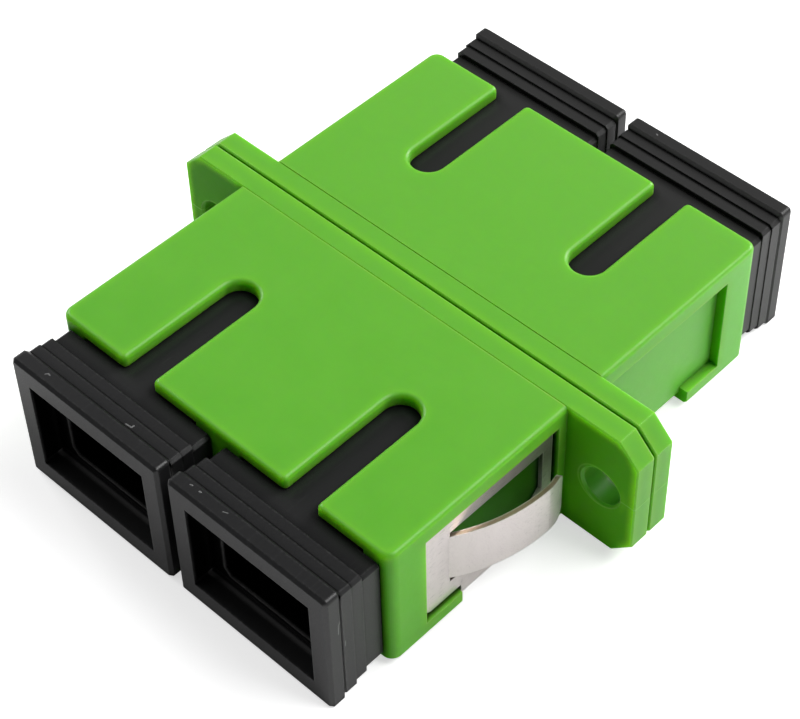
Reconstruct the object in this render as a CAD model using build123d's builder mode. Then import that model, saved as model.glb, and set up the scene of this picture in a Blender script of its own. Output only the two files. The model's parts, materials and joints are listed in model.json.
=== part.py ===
"""Duplex fibre optic adapter with a flange, a sprung mounting clip and four dust caps.

X runs across the two ports, Y along them, Z up. The two housing halves meet at Y = 0,
and the lowest faces, the rims of the dust caps, stand at Z = 0.
"""
import os

from build123d import *

# Ports
port_pitch = 12.7
port_width = 9.1
port_height = 7.8
port_lead_chamfer = 0.12

# Housing body
roof_thickness = 0.82
side_wall = 1.95
half_length = 15.5
body_corner_radius = 0.7
body_edge_radius = 0.3
body_lower_chamfer = 0.22

# Key slots in the roof
slot_width = 2.35
slot_length = 8.8
slot_corner_radius = 0.35

# Flange
flange_width = 35.8
flange_half_thickness = 1.5
flange_corner_chamfer = 1.4
flange_edge_chamfer = 0.08
screw_hole_end_distance = 2.45
screw_hole_radius = 1.3
screw_hole_chamfer = 0.14
parting_groove_half = 0.07
parting_groove_depth = 0.8

# Locating tabs and sockets in the meeting faces
locating_tab_pitch = 25.6
locating_tab_rise = 2.5
locating_tab_size = 1.1
locating_tab_length = 0.9
locating_tab_clearance = 0.05
locating_socket_extra_depth = 0.2

# Side recesses that hold the clip
recess_depth = 0.65
recess_front_margin = 2.75
recess_rear_margin = 0.62
recess_top_margin = 1.2
recess_ledge_height = 1.05
recess_ledge_length = 2.85
strap_groove_depth = 0.4

# Mounting clip, folded from one strip of sheet
sheet_thickness = 0.3
sheet_clearance = 0.05
clip_bend_radius = 0.3
plate_clearance = 0.2
plate_corner_radius = 0.5
strap_width = 4.55
window_front_margin = 1.95
window_rear_margin = 0.75
window_top_margin = 1.25
window_bottom_margin = 1.2
window_gusset = 1.1
leaf_slit = 0.3
leaf_lower_slit = 0.4
leaf_reach = 1.85
leaf_tip_gap = 0.75
leaf_curl_length = 1.5
leaf_curl = 0.4
leaf_corner_radius = 0.8
leaf_root_overlap = 0.1

# Latch cores
core_flange_overlap = 0.55
core_flange_thickness = 1.25
core_clearance = 0.05
tube_radius = 2.45
tube_length = 6.4
tube_lip_radius = 1.45
tube_lead_radius = 1.95
arm_thickness = 0.55
arm_tube_gap = 0.45
arm_height = 3.2
arm_length = 8.4
hook_reach = 0.5
hook_length = 1.3
hook_ramp = 0.85

# Split sleeves
sleeve_bore_radius = 1.25
sleeve_wall = 0.35
sleeve_length = 11.4
sleeve_clearance = 0.05
sleeve_slit = 0.4

# Dust caps: a rim and three bands outside the port, and an insert in it
cap_rim_spacing = 0.74
cap_rim_height = 9.6
cap_rim_drop = 0.28
cap_rim_length = 1.13
cap_rim_corner_radius = 0.3
cap_rim_edge_chamfer = 0.2
cap_band_corner_chamfer = 0.2
cap_band_lengths = [0.78, 0.82, 1.29]
cap_band_top_drops = [0.28, 0.38]
cap_band_bottom_rises = [0.25, 0.52, 0.82]
cap_band_side_drop = 0.05
cap_seat_gap = 0.05
cap_insert_clearance = 0.07
cap_insert_wall = 0.8
cap_insert_length = 9.6
cap_insert_corner_chamfer = 0.2
cap_insert_lead = 0.3
cap_mouth_width = 9.32
cap_mouth_height = 6.65
cap_mouth_depth = 1.45
cap_hollow_corner_chamfer = 0.4
cap_web_thickness = 0.9
cap_web_latch_gap = 0.7

# How closely a position has to match when edges are picked by it
pick_margin = 0.01

# Sizes that follow from the driving ones
axis_z = cap_rim_height / 2 + cap_rim_drop
body_width = port_pitch + port_width + 2 * side_wall
body_height = port_height + 2 * roof_thickness
base_z = axis_z - body_height / 2
top_z = axis_z + body_height / 2
side_x = body_width / 2
port_x = port_pitch / 2
mouth_y = -half_length
flange_front_y = -flange_half_thickness
slot_arc_y = mouth_y + slot_length - slot_width / 2
hole_x = flange_width / 2 - screw_hole_end_distance

# Side recess, seen from +X: open below, with a ledge under its front
recess_front_y = mouth_y + recess_front_margin
recess_rear_y = flange_front_y - recess_rear_margin
recess_top_z = top_z - recess_top_margin
ledge_end_y = recess_front_y + recess_ledge_length
ledge_top_z = base_z + recess_ledge_height

with BuildPart() as side_recess:
    with BuildSketch(Plane.YZ.offset(side_x - recess_depth)):
        with BuildLine():
            Polyline(
                (recess_front_y, ledge_top_z),
                (recess_front_y, recess_top_z),
                (recess_rear_y, recess_top_z),
                (recess_rear_y, base_z - roof_thickness),
                (ledge_end_y, base_z - roof_thickness),
                (ledge_end_y, ledge_top_z),
                close=True,
            )
        make_face()
    extrude(amount=recess_depth + side_wall)

# One housing half, from the port mouths back to the meeting face
with BuildPart() as front_housing:
    with BuildSketch(Plane.XY.offset(base_z)):
        with Locations((0, (mouth_y + flange_front_y) / 2)):
            Rectangle(body_width, flange_front_y - mouth_y)
        fillet(vertices().group_by(Axis.Y)[0], body_corner_radius)
    extrude(amount=axis_z - base_z)

    # Upper half of the body, with a key slot over each port that ends in a full round
    with BuildSketch(Plane.XY.offset(axis_z)):
        with Locations((0, (mouth_y + flange_front_y) / 2)):
            Rectangle(body_width, flange_front_y - mouth_y)
        with Locations((-port_x, (mouth_y + slot_arc_y) / 2), (port_x, (mouth_y + slot_arc_y) / 2)):
            Rectangle(slot_width, slot_arc_y - mouth_y, mode=Mode.SUBTRACT)
        with Locations((-port_x, slot_arc_y), (port_x, slot_arc_y)):
            Circle(slot_width / 2, mode=Mode.SUBTRACT)
        fillet(vertices().group_by(Axis.Y)[0].sort_by(Axis.X)[1:-1], slot_corner_radius)
        mouth_corners = vertices().group_by(Axis.Y)[0].sort_by(Axis.X)
        fillet([mouth_corners[0], mouth_corners[-1]], body_corner_radius)
    extrude(amount=top_z - axis_z)
    upper_edges = faces().sort_by(Axis.Z)[-1].edges()
    fillet(
        upper_edges.filter_by(lambda edge: edge.center().Y < flange_front_y - pick_margin),
        body_edge_radius,
    )
    lower_edges = faces().sort_by(Axis.Z)[0].edges()
    chamfer(
        lower_edges.filter_by(lambda edge: edge.center().Y < flange_front_y - pick_margin),
        body_lower_chamfer,
    )

    # Flange with chamfered corners, stepped back at its rim to leave the parting groove
    with BuildSketch(Plane.XZ.offset(parting_groove_half)):
        with Locations((0, axis_z)):
            Rectangle(flange_width, body_height)
        chamfer(vertices(), flange_corner_chamfer)
    flange_plate = extrude(amount=flange_half_thickness - parting_groove_half, mode=Mode.PRIVATE)
    rim_edges = flange_plate.faces().filter_by(Axis.Y).edges()
    add(flange_plate.chamfer(flange_edge_chamfer, None, rim_edges))
    with BuildSketch(Plane.XZ):
        with Locations((0, axis_z)):
            Rectangle(flange_width - 2 * parting_groove_depth, body_height - 2 * parting_groove_depth)
        chamfer(vertices(), flange_corner_chamfer)
    extrude(amount=flange_half_thickness / 2)

    # Ports with a lead-in at the mouth, and the wider pocket that traps each latch core
    with BuildSketch(Plane.XZ):
        with Locations((-port_x, axis_z), (port_x, axis_z)):
            Rectangle(port_width, port_height)
    extrude(amount=half_length, mode=Mode.SUBTRACT)
    with BuildSketch(Plane.XZ.offset(half_length - port_lead_chamfer)):
        with Locations((-port_x, axis_z), (port_x, axis_z)):
            Rectangle(port_width, port_height)
    extrude(amount=port_lead_chamfer, taper=-45, mode=Mode.SUBTRACT)
    core_flange_width = port_width + 2 * core_flange_overlap
    with BuildSketch(Plane.XZ):
        with Locations((-port_x, axis_z), (port_x, axis_z)):
            Rectangle(core_flange_width + 2 * core_clearance, port_height)
    extrude(amount=core_flange_thickness, mode=Mode.SUBTRACT)

    # Side recesses and the strap groove that joins them under the body
    add(side_recess.part, mode=Mode.SUBTRACT)
    add(side_recess.part.mirror(Plane.YZ), mode=Mode.SUBTRACT)
    strap_back_y = ledge_end_y + strap_width + 2 * plate_clearance
    with BuildSketch(Plane.XY.offset(base_z)):
        with Locations((0, (ledge_end_y + strap_back_y) / 2)):
            Rectangle(body_width, strap_back_y - ledge_end_y)
    extrude(amount=strap_groove_depth, mode=Mode.SUBTRACT)
    groove_top_z = base_z + strap_groove_depth
    groove_ends = edges().filter_by(Axis.Y).filter_by_position(
        Axis.Z, groove_top_z - pick_margin, groove_top_z + pick_margin
    )
    fillet(groove_ends, clip_bend_radius)

    # Screw holes in the ears
    with Locations(Plane.XZ.offset(flange_half_thickness)):
        with Locations((-hole_x, axis_z), (hole_x, axis_z)):
            CounterSinkHole(
                screw_hole_radius,
                screw_hole_radius + screw_hole_chamfer,
                depth=2 * flange_half_thickness,
            )

    # A tab and a socket on each side, placed so that a half turned about Z fits its twin
    locating_socket_size = locating_tab_size + 2 * locating_tab_clearance
    with BuildSketch(Plane.XZ):
        for side in (-1, 1):
            with Locations((side * locating_tab_pitch / 2, axis_z + side * locating_tab_rise)):
                Rectangle(locating_tab_size, locating_tab_size)
    extrude(amount=-locating_tab_length)
    with BuildSketch(Plane.XZ):
        for side in (-1, 1):
            with Locations((side * locating_tab_pitch / 2, axis_z - side * locating_tab_rise)):
                Rectangle(locating_socket_size, locating_socket_size)
    extrude(amount=locating_tab_length + locating_socket_extra_depth, mode=Mode.SUBTRACT)

with BuildPart() as rear_housing:
    add(front_housing.part.rotate(Axis.Z, 180))

# Mounting clip: plates in the side recesses, joined by the strap under the body
plate_outer_x = side_x - recess_depth + sheet_clearance + sheet_thickness
strap_bottom_z = base_z + strap_groove_depth - sheet_clearance - sheet_thickness
plate_front_y = recess_front_y + plate_clearance
plate_rear_y = recess_rear_y - plate_clearance
plate_bottom_z = ledge_top_z + plate_clearance
plate_top_z = recess_top_z - plate_clearance
plate_centre_y = (plate_front_y + plate_rear_y) / 2
strap_centre_y = (ledge_end_y + strap_back_y) / 2
window_front_y = plate_front_y + window_front_margin
window_rear_y = plate_rear_y - window_rear_margin
window_top_z = plate_top_z - window_top_margin
window_bottom_z = plate_bottom_z + window_bottom_margin

with BuildPart() as clip_outline:
    with BuildSketch(Plane.YZ.offset(-side_x)):
        with Locations((plate_centre_y, (plate_bottom_z + plate_top_z) / 2)):
            RectangleRounded(
                plate_rear_y - plate_front_y, plate_top_z - plate_bottom_z, plate_corner_radius
            )
        with Locations((strap_centre_y, (strap_bottom_z + window_bottom_z) / 2)):
            Rectangle(strap_width, window_bottom_z - strap_bottom_z)
        with BuildLine():
            Polyline(
                (window_front_y, window_bottom_z),
                (window_front_y, window_top_z),
                (window_rear_y, window_top_z),
                (window_rear_y, window_bottom_z + window_gusset),
                (window_rear_y - window_gusset, window_bottom_z),
                close=True,
            )
        make_face(mode=Mode.SUBTRACT)
    extrude(amount=body_width)

# Sprung leaf: a strip that bows out of the window's front edge and curls back at its tip
leaf_bottom_z = window_bottom_z + leaf_lower_slit
leaf_top_z = window_top_z - leaf_slit
leaf_root_y = window_front_y - leaf_root_overlap
leaf_tip_y = plate_rear_y - leaf_tip_gap
crest_x = plate_outer_x + leaf_reach
crest_y = leaf_tip_y - leaf_curl_length

with BuildPart() as clip_leaf:
    with BuildSketch(Plane.XY.offset(leaf_bottom_z)):
        with BuildLine():
            TangentArc((crest_x, crest_y), (plate_outer_x, leaf_root_y), tangent=(0, -1))
            TangentArc((crest_x, crest_y), (crest_x - leaf_curl, leaf_tip_y), tangent=(0, 1))
            offset(amount=sheet_thickness, side=Side.RIGHT)
        make_face()
    extrude(amount=leaf_top_z - leaf_bottom_z)
    leaf_end = faces().sort_by(Axis.Y)[-1]
    fillet(leaf_end.edges().filter_by(Axis.X, tolerance=30), leaf_corner_radius)

with BuildPart() as mounting_clip:
    with BuildSketch(Plane.XZ.offset(-plate_rear_y)):
        with BuildLine():
            FilletPolyline(
                (-plate_outer_x, plate_top_z),
                (-plate_outer_x, strap_bottom_z),
                (plate_outer_x, strap_bottom_z),
                (plate_outer_x, plate_top_z),
                radius=clip_bend_radius + sheet_thickness,
            )
            offset(amount=sheet_thickness, side=Side.LEFT)
        make_face()
    extrude(amount=plate_rear_y - plate_front_y)
    add(clip_outline.part, mode=Mode.INTERSECT)
    add(clip_leaf.part)
    add(clip_leaf.part.mirror(Plane.YZ))

# Latch core: a flange in the pocket, a tube round the sleeve and two hooked arms
tube_bore_radius = sleeve_bore_radius + sleeve_wall + sleeve_clearance
sleeve_room_length = sleeve_length / 2 + sleeve_clearance
arm_inner_x = tube_radius + arm_tube_gap
arm_outer_x = arm_inner_x + arm_thickness
hook_tip_x = arm_inner_x - hook_reach

with BuildPart() as core_blank:
    with BuildSketch(Plane.XZ):
        Rectangle(core_flange_width, port_height - 2 * core_clearance)
    extrude(amount=core_flange_thickness)
    with BuildSketch(Plane.XZ):
        Circle(tube_radius)
    extrude(amount=tube_length)
    with BuildSketch(Plane.XY.offset(-arm_height / 2)):
        with BuildLine():
            Polyline(
                (arm_inner_x, 0),
                (arm_outer_x, 0),
                (arm_outer_x, -arm_length + arm_thickness),
                (arm_inner_x, -arm_length),
                (hook_tip_x, -arm_length + hook_ramp),
                (hook_tip_x, -arm_length + hook_length),
                (arm_inner_x, -arm_length + hook_length),
                close=True,
            )
        make_face()
        mirror(about=Plane.YZ)
    extrude(amount=arm_height)

    # Room for half of the sleeve, held by a lip that flares out as a lead-in for the ferrule
    with BuildSketch(Plane.XY):
        with BuildLine():
            Polyline(
                (0, 0),
                (tube_bore_radius, 0),
                (tube_bore_radius, -sleeve_room_length),
                (tube_lip_radius, -sleeve_room_length),
                (tube_lead_radius, -tube_length),
                (0, -tube_length),
                close=True,
            )
        make_face()
    revolve(axis=Axis.Y, mode=Mode.SUBTRACT)

# Split sleeve, slit along its top
with BuildPart() as sleeve_blank:
    with BuildSketch(Plane.XZ.offset(-sleeve_length / 2)):
        Circle(sleeve_bore_radius + sleeve_wall)
        Circle(sleeve_bore_radius, mode=Mode.SUBTRACT)
        with Locations((0, sleeve_bore_radius)):
            Rectangle(sleeve_slit, 2 * sleeve_bore_radius, mode=Mode.SUBTRACT)
    extrude(amount=sleeve_length)

# Dust cap, in the place of the front port at X = 0, with its port axis at Z = 0
cap_rim_width = port_pitch - cap_rim_spacing
insert_width = port_width - 2 * cap_insert_clearance
insert_height = port_height - 2 * cap_insert_clearance
hollow_width = insert_width - 2 * cap_insert_wall
hollow_height = insert_height - 2 * cap_insert_wall
cap_seat_y = mouth_y - cap_seat_gap
cap_front_y = cap_seat_y - sum(cap_band_lengths) - cap_rim_length
insert_end_y = mouth_y + cap_insert_length
web_inner_y = -arm_length - cap_web_latch_gap
rim_top = cap_rim_height / 2 - cap_rim_drop
rim_bottom = -cap_rim_height / 2 - cap_rim_drop
band_tops = [rim_top - drop for drop in cap_band_top_drops] + [insert_height / 2]
band_bottoms = [rim_bottom + rise for rise in cap_band_bottom_rises]

with BuildPart() as cap_blank:
    with BuildSketch(Plane.XZ.offset(-cap_front_y - cap_rim_length)):
        with Locations((0, -cap_rim_drop)):
            RectangleRounded(cap_rim_width, cap_rim_height, cap_rim_corner_radius)
    extrude(amount=cap_rim_length)
    chamfer(faces().filter_by(Axis.Y).edges(), cap_rim_edge_chamfer)

    # Bands that step down from the rim to the port, the last one level with the insert on top
    band_end_y = cap_front_y + cap_rim_length
    band_width = cap_rim_width
    for band_length, band_top, band_bottom in zip(cap_band_lengths, band_tops, band_bottoms):
        band_end_y += band_length
        band_width -= 2 * cap_band_side_drop
        with BuildSketch(Plane.XZ.offset(-band_end_y)):
            with Locations((0, (band_top + band_bottom) / 2)):
                Rectangle(band_width, band_top - band_bottom)
            chamfer(vertices(), cap_band_corner_chamfer)
        extrude(amount=band_length)

    # Insert that fills the port
    with BuildSketch(Plane.XZ.offset(-insert_end_y)):
        Rectangle(insert_width, insert_height)
        chamfer(vertices(), cap_insert_corner_chamfer)
    extrude(amount=insert_end_y - cap_seat_y)
    lead_edges = faces().filter_by(Axis.Y).sort_by(Axis.Y)[-1].edges()
    chamfer(lead_edges, cap_insert_lead)

    # Mouth with its ledge, the hollow behind it, and the room round the latch
    with BuildSketch(Plane.XZ.offset(-cap_front_y - cap_mouth_depth)):
        with Locations((0, -cap_rim_drop)):
            Rectangle(cap_mouth_width, cap_mouth_height)
    extrude(amount=cap_mouth_depth, mode=Mode.SUBTRACT)
    with BuildSketch(Plane.XZ.offset(-web_inner_y + cap_web_thickness)):
        Rectangle(hollow_width, hollow_height)
        chamfer(vertices(), cap_hollow_corner_chamfer)
    extrude(amount=half_length, mode=Mode.SUBTRACT)
    with BuildSketch(Plane.XZ.offset(-insert_end_y)):
        Rectangle(hollow_width, hollow_height)
        chamfer(vertices(), cap_hollow_corner_chamfer)
    extrude(amount=insert_end_y - web_inner_y, mode=Mode.SUBTRACT)

# The four ports: side, end, turn about Z
places = {
    "front_left": (-port_x, 0),
    "front_right": (port_x, 0),
    "rear_left": (port_x, 180),
    "rear_right": (-port_x, 180),
}

os.makedirs("parts", exist_ok=True)

pieces = {
    "front_housing": front_housing.part,
    "rear_housing": rear_housing.part,
    "mounting_clip": mounting_clip.part,
}
for place, (x, turn) in places.items():
    pieces["latch_core_" + place] = (Pos(x, 0, axis_z) * core_blank.part).rotate(Axis.Z, turn)
    pieces["dust_cap_" + place] = (Pos(x, 0, axis_z) * cap_blank.part).rotate(Axis.Z, turn)
for side, x in (("left", -port_x), ("right", port_x)):
    pieces["split_sleeve_" + side] = Pos(x, 0, axis_z) * sleeve_blank.part

for name, piece in pieces.items():
    piece.label = name
    export_step(piece, f"parts/{name}.step")
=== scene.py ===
import json
import math

import bpy
from mathutils import Matrix, Vector

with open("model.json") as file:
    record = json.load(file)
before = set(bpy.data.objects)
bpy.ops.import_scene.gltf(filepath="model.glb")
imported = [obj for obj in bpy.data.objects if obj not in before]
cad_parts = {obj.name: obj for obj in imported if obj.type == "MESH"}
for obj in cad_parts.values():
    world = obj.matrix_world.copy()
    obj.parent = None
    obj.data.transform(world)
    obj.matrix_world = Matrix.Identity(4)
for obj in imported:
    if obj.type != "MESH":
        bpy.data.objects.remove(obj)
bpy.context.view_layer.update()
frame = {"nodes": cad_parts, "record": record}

WHITE = (1, 1, 1, 1)
MILLIMETRES_PER_METRE = 1000.0

# Camera, fitted to the photograph's view: place in metres, angles in degrees, picture in pixels
PICTURE_WIDTH = 800
PICTURE_HEIGHT = 719
CAMERA_PLACE = (0.0612, -0.06267, 0.10051)
CAMERA_AZIMUTH = 41.87
CAMERA_ELEVATION = 47.12
CAMERA_ROLL = 0.65
FOCAL_PIXELS = 2202.2
CENTRE_PIXEL = (480.0, 320.0)

# What the camera sees from and to, in metres, and its sensor's width in millimetres
NEAREST = 0.005
FARTHEST = 20.0
SENSOR_WIDTH = 36.0

# Soft lamps round the object, all turned to its foot: name, place in metres and power in watts
LAMP_SIZE = 0.3
LAMPS = (
    ("right", (0.351, 0.21, 0.568), 2.5),
    ("rear", (0.14, 0.596, 0.35), 4.0),
    ("left", (-0.603, 0.0, 0.355), 2.0),
    ("front", (-0.318, -0.268, 0.565), 0.4),
)
WORLD_STRENGTH = 0.08

# Ground: its size in metres, how much light it returns, and what it lacks of white near the object
FLOOR_SIZE = 6.0
FLOOR_ALBEDO = 0.85
FLOOR_LIFT = 0.6

# How far from the object the ground starts to whiten and is white, in millimetres
FLOOR_LIFT_START = 120.0
FLOOR_LIFT_END = 400.0

# Places on the object that the materials refer to, in millimetres
AXIS_HEIGHT = 5.08
PORT_OFFSET = 6.35
RECESS_FLOOR = 12.1
FLANGE_FACE = 1.5
HOLE_RING_OFFSET = 15.32
HOLE_RING_RADIUS = 1.5
RIM_FACE = 19.53
MOUTH_HALF_WIDTH = 4.68
MOUTH_HALF_HEIGHT = 3.36

# Where the stepped bands of the caps end, in millimetres from the flange
BAND_ENDS = (18.44, 17.66, 16.84)

# Marks on the black caps, as start, end and width to either side in millimetres
SCUFFS = (
    ((-9.95, -19.02, 9.6), (-9.85, -18.88, 9.6), 0.05),
    ((-9.85, -18.88, 9.6), (-9.7, -18.92, 9.6), 0.05),
    ((-4.2, -18.27, 9.32), (-3.8, -18.23, 9.32), 0.05),
    ((-3.8, -18.23, 9.32), (-3.8, -18.07, 9.32), 0.06),
    ((1.62, -18.88, 9.6), (1.74, -18.85, 9.6), 0.05),
    ((2.33, -18.86, 9.6), (2.42, -18.86, 9.6), 0.06),
    ((4.2, -18.96, 9.6), (4.45, -18.86, 9.6), 0.04),
    ((12.33, -18.62, 7.3), (12.33, -18.77, 7.0), 0.06),
    ((12.33, -18.77, 6.9), (12.33, -18.8, 6.3), 0.05),
    ((12.28, -18.3, 5.1), (12.28, -18.32, 4.7), 0.04),
    ((2.33, 19.02, 9.6), (2.44, 18.97, 9.6), 0.05),
)

# Colours of the green plastic
GREEN_DARK_PATCH = (0.120, 0.435, 0.029)
GREEN_LIGHT_PATCH = (0.136, 0.462, 0.035)
GREEN_REAR = (0.158, 0.482, 0.052)
# Painted light on the sides of the front and rear halves
GREEN_FRONT_SIDE_PAINTED_LIGHT = (0.135, 0.50, 0.028)
GREEN_REAR_SIDE_PAINTED_LIGHT = (0.20, 0.64, 0.09)
# Painted shade on the rear slot walls and on the front faces
GREEN_SLOT_WALL_SHADE = (0.09, 0.38, 0.013)
GREEN_FRONT_FACE_SHADE = (0.085, 0.40, 0.006)
# Painted glow at edges and outlines, and painted highlights along thin edges
GREEN_EDGE_GLOW = (0.19, 0.55, 0.03)
GREEN_OUTLINE_GLOW = (0.36, 0.95, 0.02)
GREEN_EDGE_HIGHLIGHT = (0.58, 0.94, 0.36)
# Pale colour of the mould seam, also used for the painted highlight round each flange hole
GREEN_MOULD_MARK_AND_HIGHLIGHT = (0.3, 0.68, 0.12)
# Painted shade in the holes, in creases, on the recess walls and behind the clip's window
GREEN_HOLE_FLOOR_SHADE = (0.03, 0.2, 0.003)
GREEN_CREASE_SHADE = (0.03, 0.21, 0.003)
GREEN_RECESS_WALL_SHADE = (0.002, 0.012, 0.001)
GREEN_WINDOW_SHADE_FRONT = (0.016, 0.13, 0.003)
GREEN_WINDOW_SHADE_REAR = (0.002, 0.03, 0.001)

# Colours of the black plastic
BLACK_PLAIN = (0.013, 0.013, 0.0135)
BLACK_WORN = (0.021, 0.021, 0.0215)
BLACK_REAR = (0.027, 0.0268, 0.0265)
# Painted highlights along edges, and painted shade in creases and at the steps
BLACK_EDGE_HIGHLIGHT = (0.085, 0.085, 0.085)
BLACK_CREASE_SHADE = (0.0005, 0.0005, 0.0005)
# Pale colour of the nicks, also used for painted light where the rims end
BLACK_NICK_AND_PAINTED_LIGHT = (0.2, 0.2, 0.2)
# Painted shade in the hollows, and painted highlights on the lips in them
BLACK_HOLLOW_SHADE = (0.0002, 0.0002, 0.0002)
BLACK_LIP_HIGHLIGHT = (0.13, 0.13, 0.13)

# Colours of the steel, the ivory plastic and the ceramic
STEEL_DULL = (0.915, 0.838, 0.828)
STEEL_BRIGHT = (0.95, 0.872, 0.86)
STEEL_SHADED = (0.16, 0.14, 0.125)
STEEL_CUT_EDGE = (0.36, 0.27, 0.19)
# Painted highlights along thin edges, and painted shade in creases
STEEL_EDGE_HIGHLIGHT = (0.95, 0.92, 0.88)
STEEL_CREASE_SHADE = (0.05, 0.045, 0.04)
IVORY_DARK = (0.62, 0.59, 0.49)
IVORY_LIGHT = (0.68, 0.65, 0.55)
CERAMIC_DARK = (0.80, 0.80, 0.76)
CERAMIC_LIGHT = (0.84, 0.84, 0.81)

# How far a point looks for other faces, outside in creases and inside at edges, in metres
CREASE_REACH = 6e-4
GLOW_REACH = 7e-4
GREEN_EDGE_REACH = 1.1e-4
BLACK_EDGE_REACH = 1.4e-4
LIP_REACH = 2e-4
STEEL_EDGE_REACH = 8e-5
STEEL_CREASE_REACH = 5e-4

# Radii of rounded edges and heights of bumps, in metres
PLASTIC_ROUNDING = 1e-4
STEEL_ROUNDING = 4e-5
WAVE_HEIGHT = 2e-5
SEAM_HEIGHT = 3e-5
NICK_HEIGHT = 2e-5
GREEN_GRAIN_HEIGHT = 1.5e-6
BLACK_GRAIN_HEIGHT = 2e-6
STEEL_GRAIN_HEIGHT = 2e-7
IVORY_GRAIN_HEIGHT = 2e-6
CERAMIC_GRAIN_HEIGHT = 1e-6

# Between which values a noise mostly runs, and the part of a drawn line's width that is full
NOISE_LOW = 0.3
NOISE_HIGH = 0.7
LINE_CORE = 0.4

PLASTIC_IOR = 1.5
CERAMIC_IOR = 2.1
SHADER_SAMPLES = 2


def add_camera():
    """Puts the camera at the photograph's view and makes it the scene's own."""
    data = bpy.data.cameras.new("camera")
    data.sensor_fit = "HORIZONTAL"
    data.sensor_width = SENSOR_WIDTH
    data.lens = FOCAL_PIXELS * SENSOR_WIDTH / PICTURE_WIDTH
    data.shift_x = (PICTURE_WIDTH / 2 - CENTRE_PIXEL[0]) / PICTURE_WIDTH
    data.shift_y = (CENTRE_PIXEL[1] - PICTURE_HEIGHT / 2) / PICTURE_WIDTH
    data.clip_start = NEAREST
    data.clip_end = FARTHEST
    azimuth = math.radians(CAMERA_AZIMUTH)
    elevation = math.radians(CAMERA_ELEVATION)
    back = Vector((
        math.sin(azimuth) * math.cos(elevation),
        -math.cos(azimuth) * math.cos(elevation),
        math.sin(elevation),
    ))
    right = Vector((0, 0, 1)).cross(back).normalized()
    up = back.cross(right)
    turn = Matrix((right, up, back)).transposed().to_4x4()
    roll = Matrix.Rotation(math.radians(CAMERA_ROLL), 4, "Z")
    camera = bpy.data.objects.new("camera", data)
    camera.matrix_world = Matrix.Translation(CAMERA_PLACE) @ turn @ roll
    bpy.context.collection.objects.link(camera)
    bpy.context.scene.camera = camera


def add_lamp(name, place, power):
    """Adds a square soft lamp that faces the object's foot."""
    data = bpy.data.lights.new(name, "AREA")
    data.shape = "SQUARE"
    data.size = LAMP_SIZE
    data.energy = power
    lamp = bpy.data.objects.new(name, data)
    lamp.location = place
    lamp.rotation_euler = (-Vector(place)).to_track_quat("-Z", "Y").to_euler()
    bpy.context.collection.objects.link(lamp)


def add_world():
    """Lights the scene evenly and faintly, and shows plain white to the camera."""
    world = bpy.data.worlds.new("world")
    bpy.context.scene.world = world
    world.use_nodes = True
    nodes = world.node_tree.nodes
    links = world.node_tree.links
    nodes.clear()
    output = nodes.new("ShaderNodeOutputWorld")
    mix = nodes.new("ShaderNodeMixShader")
    path = nodes.new("ShaderNodeLightPath")
    links.new(path.outputs["Is Camera Ray"], mix.inputs[0])
    for socket, strength in ((mix.inputs[1], WORLD_STRENGTH), (mix.inputs[2], 1.0)):
        background = nodes.new("ShaderNodeBackground")
        background.inputs["Color"].default_value = WHITE
        background.inputs["Strength"].default_value = strength
        links.new(background.outputs[0], socket)
    links.new(mix.outputs[0], output.inputs[0])


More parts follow.
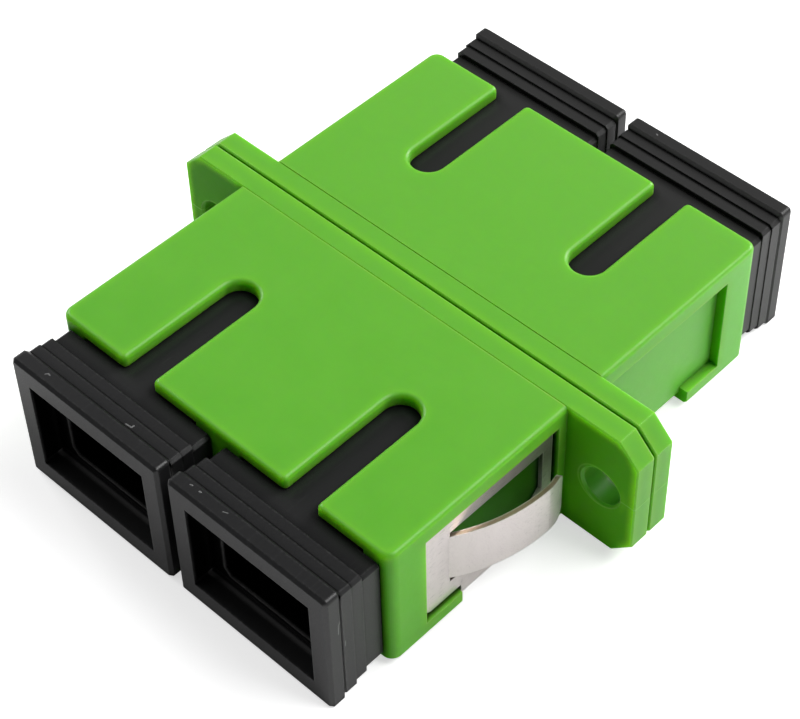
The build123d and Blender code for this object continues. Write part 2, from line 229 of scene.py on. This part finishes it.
class Recipe:
    """A node material that is being put together."""

    def __init__(self, name):
        self.material = bpy.data.materials.new(name)
        self.material.use_nodes = True
        self.tree = self.material.node_tree
        self.shader = self.tree.nodes["Principled BSDF"]
        self.colour = None

    def feed(self, socket, value):
        """Gives a socket a value, or links another node's result to it."""
        if isinstance(value, bpy.types.NodeSocket):
            self.tree.links.new(value, socket)
        else:
            socket.default_value = value

    def set(self, **sockets):
        """Feeds the shader's sockets, named with underscores."""
        for socket, value in sockets.items():
            self.feed(self.shader.inputs[socket.replace("_", " ")], value)

    def node(self, kind, **settings):
        """Adds a node with its settings."""
        made = self.tree.nodes.new(kind)
        for key, value in settings.items():
            setattr(made, key, value)
        return made

    def place(self):
        """The point's place on the object, in millimetres."""
        if not hasattr(self, "place_socket"):
            coordinates = self.node("ShaderNodeTexCoord")
            self.place_socket = self.scaled(coordinates.outputs["Object"], MILLIMETRES_PER_METRE)
        return self.place_socket

    def axis(self, name):
        """One coordinate of the place, in millimetres."""
        if not hasattr(self, "split"):
            self.split = self.node("ShaderNodeSeparateXYZ")
            self.feed(self.split.inputs[0], self.place())
        return self.split.outputs[name]

    def facing(self, direction):
        """How far the face points along a direction, from -1 to 1."""
        if not hasattr(self, "face"):
            self.face = self.node("ShaderNodeNewGeometry").outputs["True Normal"]
        return self.vector("DOT_PRODUCT", self.face, direction)

    def math(self, operation, first, second=None):
        """What an operation makes of one or two numbers."""
        made = self.node("ShaderNodeMath", operation=operation)
        self.feed(made.inputs[0], first)
        if second is not None:
            self.feed(made.inputs[1], second)
        return made.outputs[0]

    def vector(self, operation, first, second=None):
        """What an operation makes of vectors: a number for dot products and lengths."""
        made = self.node("ShaderNodeVectorMath", operation=operation)
        self.feed(made.inputs[0], first)
        if second is not None:
            self.feed(made.inputs[1], second)
        return made.outputs["Value" if operation in ("DOT_PRODUCT", "LENGTH") else "Vector"]

    def scaled(self, vector, factor):
        """A vector times a number."""
        made = self.node("ShaderNodeVectorMath", operation="SCALE")
        self.feed(made.inputs[0], vector)
        self.feed(made.inputs["Scale"], factor)
        return made.outputs[0]

    def stretched(self, scale):
        """The place with each axis scaled by its own factor."""
        return self.vector("MULTIPLY", self.place(), scale)

    def noise(self, scale, detail=3.0, source=None):
        """A noise over the object, with so many waves to the millimetre."""
        made = self.node("ShaderNodeTexNoise")
        self.feed(made.inputs["Scale"], scale)
        self.feed(made.inputs["Detail"], detail)
        self.feed(made.inputs["Vector"], source or self.place())
        return made.outputs["Fac"]

    def range(self, source, low, high, to_low, to_high):
        """A value held between two limits and mapped to two others."""
        made = self.node("ShaderNodeMapRange")
        limits = {"From Min": low, "From Max": high, "To Min": to_low, "To Max": to_high}
        for socket, value in limits.items():
            self.feed(made.inputs[socket], value)
        self.feed(made.inputs["Value"], source)
        return made.outputs["Result"]

    def rise(self, source, low, high):
        """0 up to the low limit, and 1 from the high one on."""
        return self.range(source, low, high, 0.0, 1.0)

    def fall(self, source, low, high):
        """1 up to the low limit, and 0 from the high one on."""
        return self.range(source, low, high, 1.0, 0.0)

    def spread(self, noise, to_low, to_high):
        """A noise mapped so that it mostly fills the span between two values."""
        return self.range(noise, NOISE_LOW, NOISE_HIGH, to_low, to_high)

    def dimmed(self, mask, least):
        """1 outside a mask and a smaller value under it."""
        return self.range(mask, 0.0, 1.0, 1.0, least)

    def apart(self, source, at):
        """How far a coordinate is from a value."""
        return self.math("ABSOLUTE", self.math("SUBTRACT", source, at))

    def line(self, source, at, width):
        """1 where a coordinate is near a value, falling to 0 at a distance of one width."""
        return self.fall(self.apart(source, at), LINE_CORE * width, width)

    def stroke(self, start, end, width):
        """1 along a line between two places, falling to 0 at a distance of one width."""
        reach = Vector(end) - Vector(start)
        along = reach / reach.length
        offset = self.vector("SUBTRACT", self.place(), start)
        run = self.math("MAXIMUM", self.vector("DOT_PRODUCT", offset, along), 0.0)
        foot = self.scaled(along, self.math("MINIMUM", run, reach.length))
        distance = self.vector("LENGTH", self.vector("SUBTRACT", offset, foot))
        return self.fall(distance, LINE_CORE * width, width)

    def either(self, masks):
        """The largest of several masks."""
        result = masks[0]
        for mask in masks[1:]:
            result = self.math("MAXIMUM", result, mask)
        return result

    def times(self, *factors):
        """The product of several masks."""
        result = factors[0]
        for factor in factors[1:]:
            result = self.math("MULTIPLY", result, factor)
        return result

    def mix(self, factor, first, second):
        """One colour that turns into another as the factor goes from 0 to 1."""
        made = self.node("ShaderNodeMix", data_type="RGBA")
        self.feed(made.inputs["Factor"], factor)
        for socket, colour in ((made.inputs[6], first), (made.inputs[7], second)):
            self.feed(socket, (*colour, 1.0) if isinstance(colour, tuple) else colour)
        return made.outputs[2]

    def paint(self, mask, colour):
        """Lays a colour over the material's own where the mask is 1."""
        self.colour = self.mix(mask, self.colour, colour)

    def openness(self, distance):
        """1 on open faces, towards 0 in grooves and corners."""
        return self.surroundings(distance, False)

    def inner_openness(self, distance):
        """1 over thick material, towards 0 at edges and over thin walls."""
        return self.surroundings(distance, True)

    def surroundings(self, distance, inside):
        """How open a point is to its surroundings, or from inside to the material's far side."""
        made = self.node("ShaderNodeAmbientOcclusion", samples=SHADER_SAMPLES, inside=inside)
        self.feed(made.inputs["Distance"], distance)
        return made.outputs["AO"]

    def rounded(self, radius):
        """The normal with edges rounded to a radius in metres."""
        made = self.node("ShaderNodeBevel", samples=SHADER_SAMPLES)
        self.feed(made.inputs["Radius"], radius)
        return made.outputs["Normal"]

    def bump(self, height, distance, normal=None):
        """The normal, tilted by a height map that is so many metres high."""
        made = self.node("ShaderNodeBump")
        self.feed(made.inputs["Distance"], distance)
        self.feed(made.inputs["Height"], height)
        if normal is not None:
            self.feed(made.inputs["Normal"], normal)
        return made.outputs["Normal"]


def green_plastic():
    """Satin, slightly see-through moulded plastic with mould lines on the flange ends."""
    made = Recipe("green_plastic")
    made.set(
        IOR=PLASTIC_IOR,
        Specular_IOR_Level=0.35,
        Subsurface_Weight=0.7,
        Subsurface_Radius=(0.45, 1.0, 0.12),
        Subsurface_Scale=0.0011,
    )
    mottle = made.noise(0.35, 4.0)
    grain = made.noise(9.0)
    across = made.math("ABSOLUTE", made.axis("X"))
    along = made.axis("Y")
    height = made.axis("Z")
    open_face = made.openness(CREASE_REACH)

    # The front faces, the sides of both halves and the walls of the rear key slots, which get
    # painted shade on the front faces and slot walls and painted light on the sides
    frontward = made.rise(made.facing((0.0, -1.0, 0.0)), 0.4, 0.9)
    sideways = made.rise(made.math("ABSOLUTE", made.facing((1.0, 0.0, 0.0))), 0.7, 0.95)
    front_side = made.times(sideways, made.fall(along, -FLANGE_FACE - 0.1, -FLANGE_FACE + 0.1))
    rear_side_painted_light = made.times(sideways, made.rise(along, 3.0, 15.0))
    slot_wall = made.times(
        sideways,
        made.rise(along, 0.0, 1.0),
        made.rise(height, 8.85, 8.95),
        made.fall(across, 12.2, 12.4),
    )

    # Painted glow where light would come through at the edges, and painted highlights as thin
    # bright lines along them
    edge = made.fall(made.inner_openness(GLOW_REACH), 0.55, 0.98)
    outline = made.either([made.rise(across, 16.8, 17.8), made.rise(height, 8.7, 9.7)])
    edge_highlight = made.times(
        made.fall(made.inner_openness(GREEN_EDGE_REACH), 0.78, 0.97),
        made.spread(grain, 0.5, 0.95),
        made.range(across, 12.5, 13.5, 0.4, 1.0),
        made.range(made.math("ABSOLUTE", along), 1.3, 1.45, 1.0, 0.4),
    )

    # A painted highlight round each flange hole, painted shade on the hole's lower wall, and the
    # mould seam on the flange ends
    from_hole = made.math("SUBTRACT", across, HOLE_RING_OFFSET)
    from_axis = made.math("SUBTRACT", height, AXIS_HEIGHT)
    squares = made.math("ADD", made.times(from_hole, from_hole), made.times(from_axis, from_axis))
    reach = made.math("SQRT", squares)
    hole_ring_highlight = made.times(made.line(reach, HOLE_RING_RADIUS, 0.07), frontward)
    hole_floor_shade = made.times(
        made.fall(reach, 1.42, 1.47),
        made.fall(frontward, 0.0, 0.2),
        made.range(from_axis, -0.6, 0.5, 0.85, 0.0),
    )
    seam = made.times(made.line(height, AXIS_HEIGHT, 0.05), made.rise(across, 16.6, 16.9))

    # Painted shade on the walls of the recess round the clip, and on the recess floor behind the
    # clip's window
    recess_wall_shade = made.times(
        made.rise(across, RECESS_FLOOR - 0.08, RECESS_FLOOR - 0.02),
        made.fall(across, 12.6, 12.74),
        made.fall(along, -FLANGE_FACE - 0.2, -FLANGE_FACE - 0.1),
        made.fall(open_face, 0.6, 0.9),
    )
    behind_clip = made.times(made.line(across, RECESS_FLOOR, 0.2), front_side)
    window_shade = made.mix(made.rise(along, -8.0, -3.0), GREEN_WINDOW_SHADE_FRONT, GREEN_WINDOW_SHADE_REAR)

    made.colour = made.mix(made.spread(mottle, 0.0, 1.0), GREEN_DARK_PATCH, GREEN_LIGHT_PATCH)
    made.paint(made.rise(along, -16.0, 16.0), GREEN_REAR)
    # Painted light on the sides of both halves, paler on the rear sides as a painted reflection
    made.paint(front_side, GREEN_FRONT_SIDE_PAINTED_LIGHT)
    made.paint(rear_side_painted_light, GREEN_REAR_SIDE_PAINTED_LIGHT)
    # Painted shade on the rear slot walls and on the front faces
    made.paint(slot_wall, GREEN_SLOT_WALL_SHADE)
    made.paint(frontward, GREEN_FRONT_FACE_SHADE)
    # Painted glow at the edges and outlines, and painted highlights along thin edges
    made.paint(made.times(edge, made.range(frontward, 0.0, 1.0, 0.9, 0.0)), GREEN_EDGE_GLOW)
    made.paint(made.times(edge, frontward, outline), GREEN_OUTLINE_GLOW)
    made.paint(edge_highlight, GREEN_EDGE_HIGHLIGHT)
    # Painted highlight round each flange hole
    made.paint(made.times(hole_ring_highlight, 0.35), GREEN_MOULD_MARK_AND_HIGHLIGHT)
    # Painted shade on the lower wall of each flange hole
    made.paint(hole_floor_shade, GREEN_HOLE_FLOOR_SHADE)
    made.paint(made.times(seam, 0.6), GREEN_MOULD_MARK_AND_HIGHLIGHT)
    # Painted shade in creases and grooves
    made.paint(made.range(open_face, 0.3, 0.85, 0.75, 0.0), GREEN_CREASE_SHADE)
    # Painted shade on the recess walls and behind the clip's window
    made.paint(recess_wall_shade, GREEN_RECESS_WALL_SHADE)
    made.paint(behind_clip, window_shade)

    gloss = made.times(
        made.range(open_face, 0.4, 0.95, 0.05, 0.45),
        made.dimmed(frontward, 0.12),
        made.dimmed(made.math("MAXIMUM", front_side, slot_wall), 0.5),
        made.dimmed(behind_clip, 0.1),
    )
    normal = made.bump(made.noise(0.8, 2.0), WAVE_HEIGHT, made.rounded(PLASTIC_ROUNDING))
    normal = made.bump(grain, GREEN_GRAIN_HEIGHT, normal)
    made.set(
        Base_Color=made.colour,
        Specular_IOR_Level=gloss,
        Roughness=made.spread(grain, 0.31, 0.4),
        Normal=made.bump(seam, SEAM_HEIGHT, normal),
    )
    return made.material


def black_plastic():
    """Satin black plastic with fine scuffs and a few pale nicks, with painted shade in its hollows
    and creases and painted highlights along its edges.
    """
    made = Recipe("black_plastic")
    made.set(IOR=PLASTIC_IOR, Specular_IOR_Level=0.45)
    grain = made.noise(12.0)
    scuffs = made.noise(1.0, 5.0, made.stretched((6.0, 0.5, 6.0)))
    from_middle = made.math("ABSOLUTE", made.axis("Y"))
    height = made.axis("Z")
    open_face = made.openness(CREASE_REACH)

    # Patches worn here and there, painted highlights along edges where the scuffs run, and nicks
    worn = made.range(scuffs, 0.62, 0.72, 0.0, 0.6)
    edge_highlight = made.times(
        made.fall(made.inner_openness(BLACK_EDGE_REACH), 0.5, 0.95),
        made.range(scuffs, 0.4, 0.62, 0.15, 0.8),
    )
    nicks = made.times(made.either([made.stroke(*scuff) for scuff in SCUFFS]), 0.8)

    # Painted shade in creases and as dark steps on top where the bands end, and painted light at
    # the rim's end on the sides and below
    creases = made.times(
        made.range(open_face, 0.3, 0.8, 0.95, 0.0), made.range(height, 8.0, 8.9, 0.15, 1.0)
    )
    step_shade = made.times(
        made.either([made.line(from_middle, place - 0.03, 0.11) for place in BAND_ENDS]),
        made.range(height, 8.3, 8.8, 0.0, 0.9),
    )
    rim_end_light = made.times(
        made.line(from_middle, BAND_ENDS[0] - 0.02, 0.22),
        made.fall(open_face, 0.5, 0.9),
        made.fall(height, 8.7, 9.0),
    )

    # Painted shade in the hollow behind each mouth, and painted highlights on the lips in it
    from_port = made.apart(made.math("ABSOLUTE", made.axis("X")), PORT_OFFSET)
    hollow_shade = made.times(
        made.math("LESS_THAN", from_port, MOUTH_HALF_WIDTH),
        made.math("LESS_THAN", made.apart(height, AXIS_HEIGHT), MOUTH_HALF_HEIGHT),
        made.fall(from_middle, RIM_FACE - 0.18, RIM_FACE),
    )
    lip_highlights = made.fall(made.inner_openness(LIP_REACH), 0.6, 0.97)

    made.colour = made.mix(worn, BLACK_PLAIN, BLACK_WORN)
    made.paint(made.rise(made.axis("Y"), 6.0, 17.0), BLACK_REAR)
    # Painted highlights along edges
    made.paint(edge_highlight, BLACK_EDGE_HIGHLIGHT)
    # Painted shade in creases and at the steps
    made.paint(creases, BLACK_CREASE_SHADE)
    made.paint(step_shade, BLACK_CREASE_SHADE)
    # Painted light where the rim ends, in the nicks' pale colour
    made.paint(rim_end_light, BLACK_NICK_AND_PAINTED_LIGHT)
    # Painted shade in the hollows, with painted highlights on the lips
    made.paint(made.times(hollow_shade, 0.94), made.mix(lip_highlights, BLACK_HOLLOW_SHADE, BLACK_LIP_HIGHLIGHT))
    made.paint(nicks, BLACK_NICK_AND_PAINTED_LIGHT)

    normal = made.bump(grain, BLACK_GRAIN_HEIGHT, made.rounded(PLASTIC_ROUNDING))
    made.set(
        Base_Color=made.colour,
        Specular_IOR_Level=made.times(
            made.range(open_face, 0.45, 0.95, 0.0, 0.5), made.dimmed(hollow_shade, 0.12)
        ),
        Roughness=made.spread(grain, 0.28, 0.40),
        Normal=made.bump(nicks, NICK_HEIGHT, normal),
    )
    return made.material


def spring_steel():
    """Rolled stainless sheet with a fine grain, its cut edges brownish."""
    made = Recipe("spring_steel")
    grain = made.noise(1.0, source=made.stretched((60.0, 1.2, 60.0)))
    plate = made.fall(made.math("ABSOLUTE", made.axis("X")), 12.9, 13.1)
    shade = made.times(
        plate,
        made.range(made.axis("Y"), -9.5, -3.0, 0.0, 0.85),
        made.rise(made.axis("Z"), 3.5, 6.5),
    )
    cut_edge = made.rise(made.facing((0.0, 0.0, 1.0)), 0.8, 0.95)
    edge_highlight = made.range(made.inner_openness(STEEL_EDGE_REACH), 0.5, 0.95, 0.6, 0.0)
    crease = made.range(made.openness(STEEL_CREASE_REACH), 0.2, 0.7, 0.9, 0.0)

    made.colour = made.mix(made.spread(made.noise(0.35, 2.0), 0.0, 1.0), STEEL_DULL, STEEL_BRIGHT)
    made.paint(shade, STEEL_SHADED)
    made.paint(cut_edge, STEEL_CUT_EDGE)
    # Painted highlights along thin edges, and painted shade in creases
    made.paint(edge_highlight, STEEL_EDGE_HIGHLIGHT)
    made.paint(crease, STEEL_CREASE_SHADE)

    made.set(
        Metallic=0.6,
        Anisotropic=0.3,
        Specular_IOR_Level=0.4,
        Base_Color=made.colour,
        Roughness=made.spread(grain, 0.26, 0.34),
        Normal=made.bump(grain, STEEL_GRAIN_HEIGHT, made.rounded(STEEL_ROUNDING)),
    )
    return made.material


def core_plastic():
    """Natural, ivory moulded plastic."""
    made = Recipe("core_plastic")
    grain = made.noise(10.0)
    made.set(
        Specular_IOR_Level=0.5,
        Subsurface_Weight=0.2,
        Subsurface_Radius=(1, 0.8, 0.5),
        Subsurface_Scale=0.0006,
        Base_Color=made.mix(made.noise(0.6), IVORY_DARK, IVORY_LIGHT),
        Roughness=made.spread(grain, 0.36, 0.46),
        Normal=made.bump(grain, IVORY_GRAIN_HEIGHT),
    )
    return made.material


def sleeve_ceramic():
    """Ground and polished white ceramic."""
    made = Recipe("sleeve_ceramic")
    grain = made.noise(1.0, source=made.stretched((4.0, 40.0, 4.0)))
    made.set(
        IOR=CERAMIC_IOR,
        Specular_IOR_Level=0.6,
        Base_Color=made.mix(grain, CERAMIC_DARK, CERAMIC_LIGHT),
        Roughness=made.spread(grain, 0.12, 0.2),
        Normal=made.bump(grain, CERAMIC_GRAIN_HEIGHT),
    )
    return made.material


def floor_material():
    """White ground: what it lacks of white is added for the camera alone, more of it far away."""
    made = Recipe("floor")
    made.set(
        Base_Color=(FLOOR_ALBEDO, FLOOR_ALBEDO, FLOOR_ALBEDO, 1),
        Roughness=0.9,
        Specular_IOR_Level=0.0,
    )
    path = made.node("ShaderNodeLightPath")
    away = made.vector("LENGTH", made.place())
    lift = made.range(away, FLOOR_LIFT_START, FLOOR_LIFT_END, FLOOR_LIFT, 1.0)
    glow = made.node("ShaderNodeEmission")
    made.feed(glow.inputs["Color"], WHITE)
    made.feed(glow.inputs["Strength"], made.times(path.outputs["Is Camera Ray"], lift))
    both = made.node("ShaderNodeAddShader")
    made.feed(both.inputs[0], made.shader.outputs[0])
    made.feed(both.inputs[1], glow.outputs[0])
    made.feed(made.tree.nodes["Material Output"].inputs["Surface"], both.outputs[0])
    return made.material


def add_floor():
    """Lays a wide ground plane at the object's foot."""
    mesh = bpy.data.meshes.new("floor")
    half = FLOOR_SIZE / 2
    corners = [(-half, -half, 0), (half, -half, 0), (half, half, 0), (-half, half, 0)]
    mesh.from_pydata(corners, [], [(0, 1, 2, 3)])
    floor = bpy.data.objects.new("floor", mesh)
    bpy.context.collection.objects.link(floor)
    mesh.materials.append(floor_material())


MATERIALS = {
    "green_plastic": green_plastic(),
    "black_plastic": black_plastic(),
    "spring_steel": spring_steel(),
    "core_plastic": core_plastic(),
    "sleeve_ceramic": sleeve_ceramic(),
}


def dress_nodes():
    """Gives every CAD node the material of its slot."""
    slots = {part["node"]: part["material_slot"] for part in frame["record"]["subparts"]}
    for name, thing in frame["nodes"].items():
        for slot in thing.material_slots:
            slot.material = MATERIALS[slots[name]]


bpy.context.scene.view_settings.view_transform = "Standard"
add_camera()
add_world()
for lamp in LAMPS:
    add_lamp(*lamp)
add_floor()
dress_nodes()
